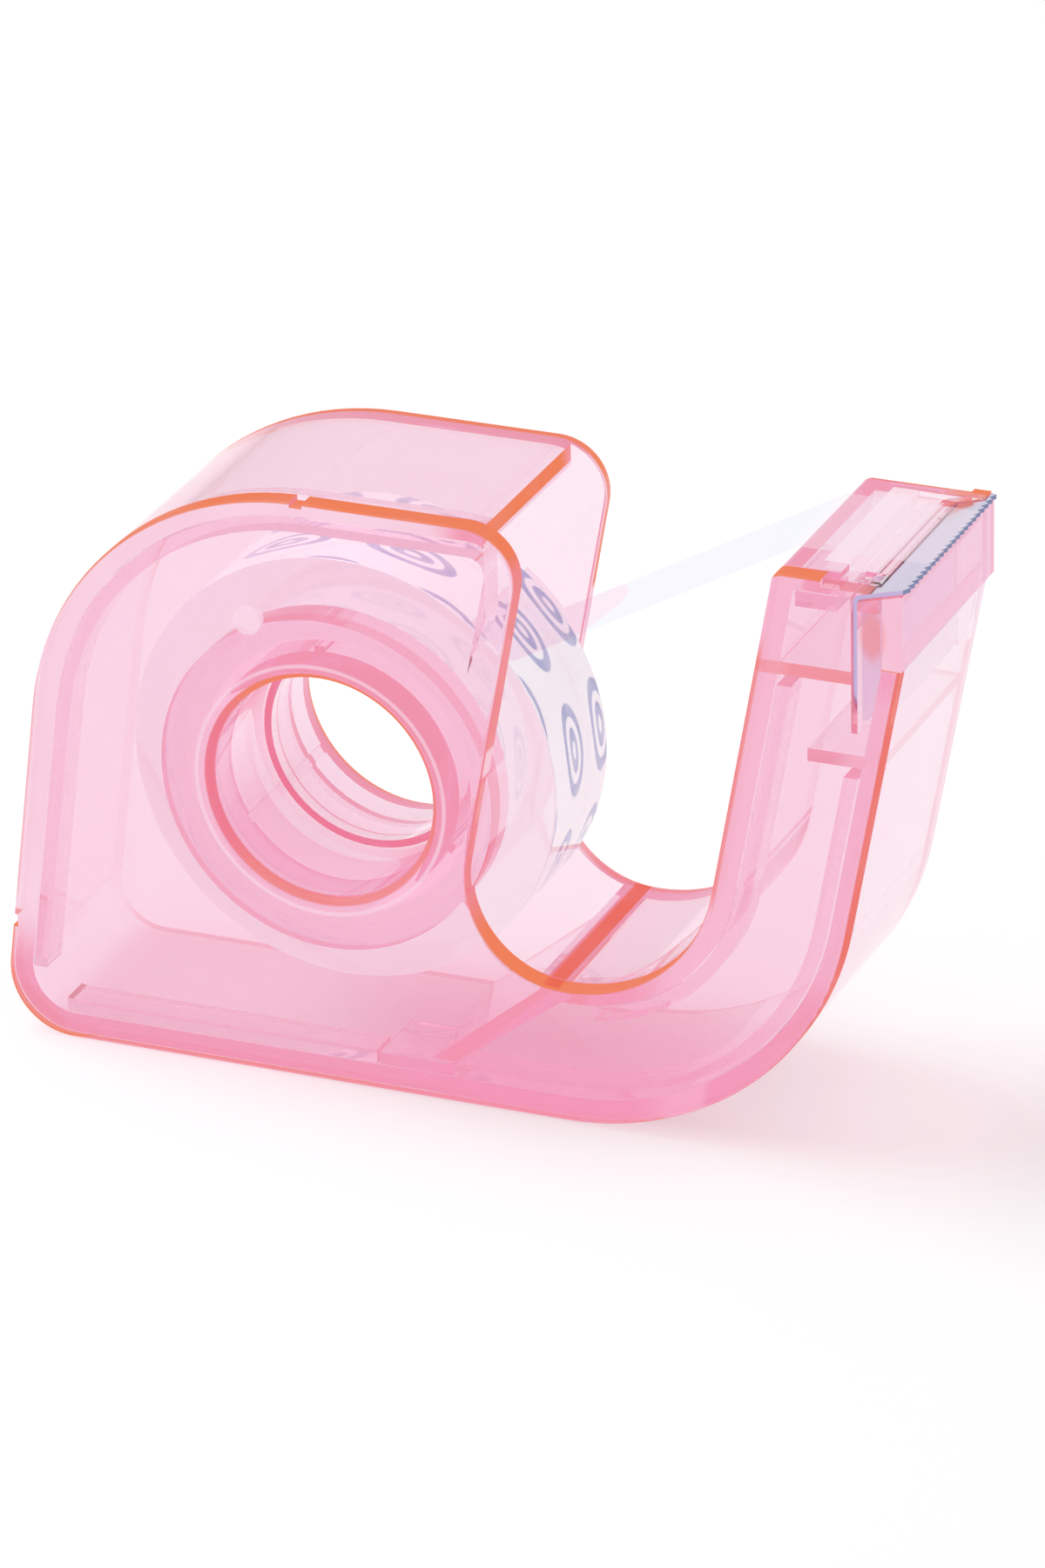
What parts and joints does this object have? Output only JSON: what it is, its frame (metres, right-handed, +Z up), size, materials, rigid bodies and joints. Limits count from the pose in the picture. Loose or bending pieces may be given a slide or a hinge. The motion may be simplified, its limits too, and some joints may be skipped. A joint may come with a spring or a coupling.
{
  "type": "adhesive tape dispenser",
  "caption": "Hand-held clear pink tape dispenser: snail-shaped two-part case, open hub, turning roll of clear tape, arm with a saw-toothed steel cutter",
  "frame": {"origin": "on the resting face, straight under the roll's axis and midway between the two side faces", "axes": "+X runs from the roll to the cutter, +Y from the cover to the shell, +Z up"},
  "size_m": [0.0858, 0.023, 0.0558],
  "materials": {
    "shell_plastic": "clear fluorescent pink, polished",
    "cover_plastic": "clear fluorescent pink, polished",
    "blade_steel": "bright rolled spring steel",
    "core_plastic": "white, printed with a plain blue-violet pattern",
    "wound_film": "clear film, smooth",
    "free_film": "clear film, smooth"
  },
  "bodies": {
    "case": {"far_shell": "shell_plastic", "near_cover": "cover_plastic", "cutter_blade": "blade_steel", "tape_leader": "free_film"},
    "roll": {"tape_core": "core_plastic", "tape_winding": "wound_film"}
  },
  "joints": [
    {"name": "roll_spin", "type": "hinge", "parent": "case", "child": "roll", "pos_m": [0, 0.0002, 0.0283], "axis": [0, 1, 0], "continuous": true}
  ]
}
